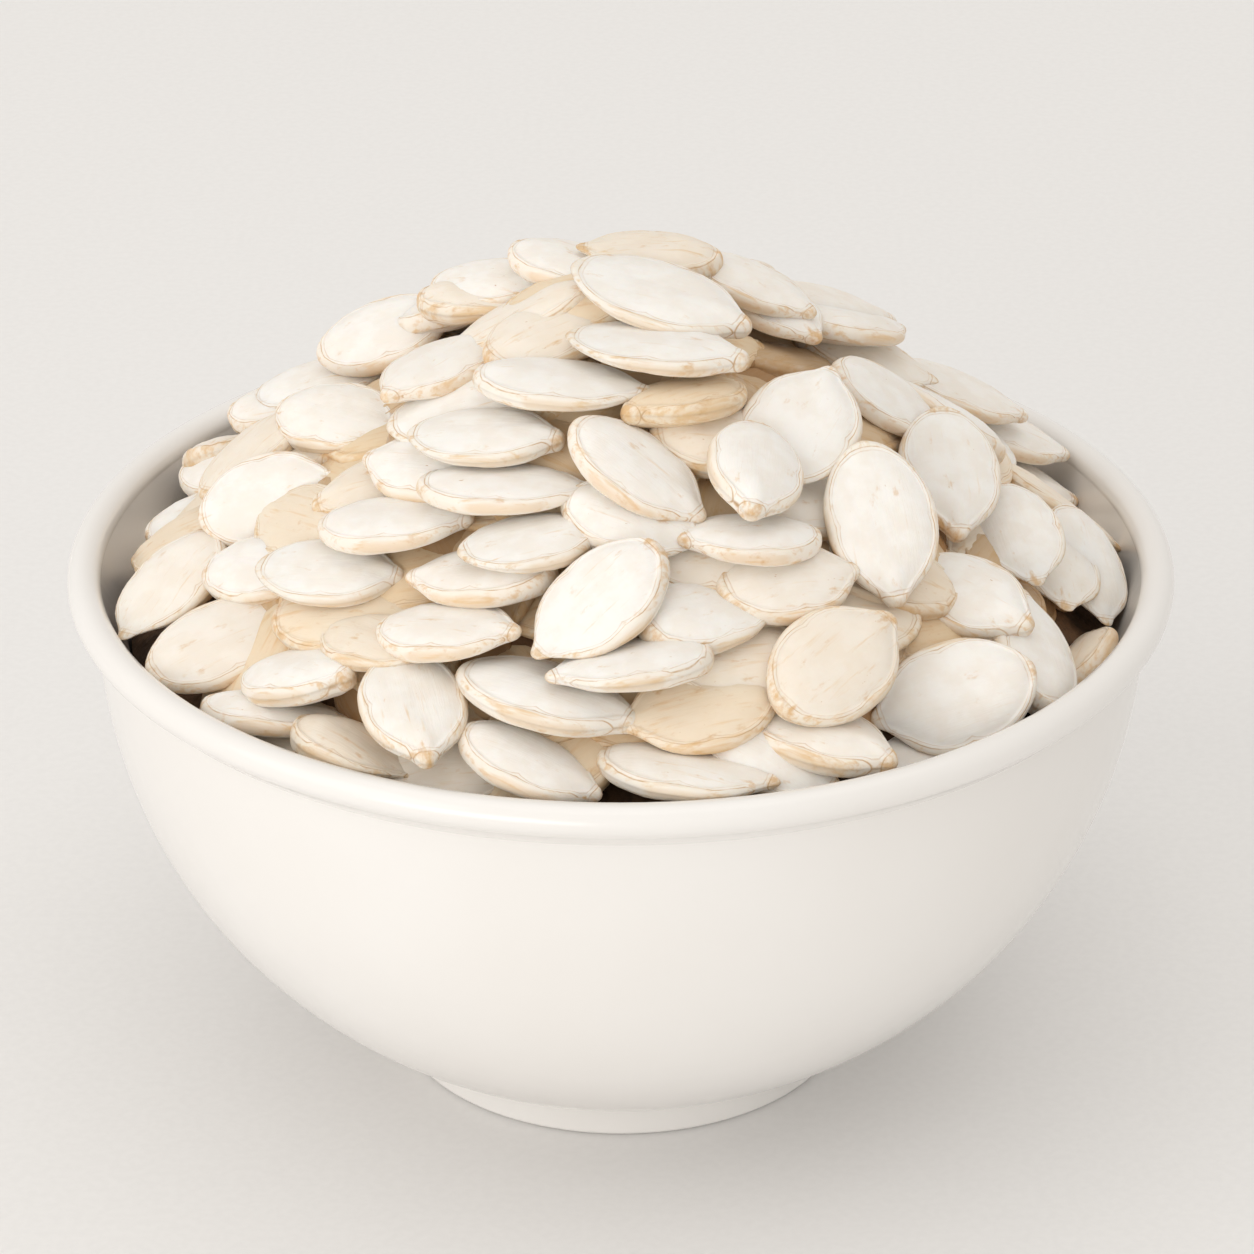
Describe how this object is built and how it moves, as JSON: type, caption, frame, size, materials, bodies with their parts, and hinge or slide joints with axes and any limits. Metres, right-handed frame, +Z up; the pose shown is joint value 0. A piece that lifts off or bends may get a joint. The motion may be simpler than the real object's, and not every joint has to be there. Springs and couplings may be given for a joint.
{
  "type": "bowl of pumpkin seeds",
  "caption": "Round footed bowl with a rolled lip, in pale glaze, heaped above its rim with whole pumpkin seeds in their cream shells.",
  "frame": {"origin": "middle of the underside of the foot, on the surface that the bowl stands on", "axes": "+Z up, -Y towards the viewer of the picture, +X to the viewer's right"},
  "size_m": [0.125, 0.125, 0.0994],
  "materials": {
    "bowl_glaze": "glossy warm white glaze",
    "seed_shell": "dry woody cream shell, satin on the faces and tan at the edges"
  },
  "bodies": {
    "root": {"bowl": "bowl_glaze", "seeds": "seed_shell"}
  },
  "joints": []
}
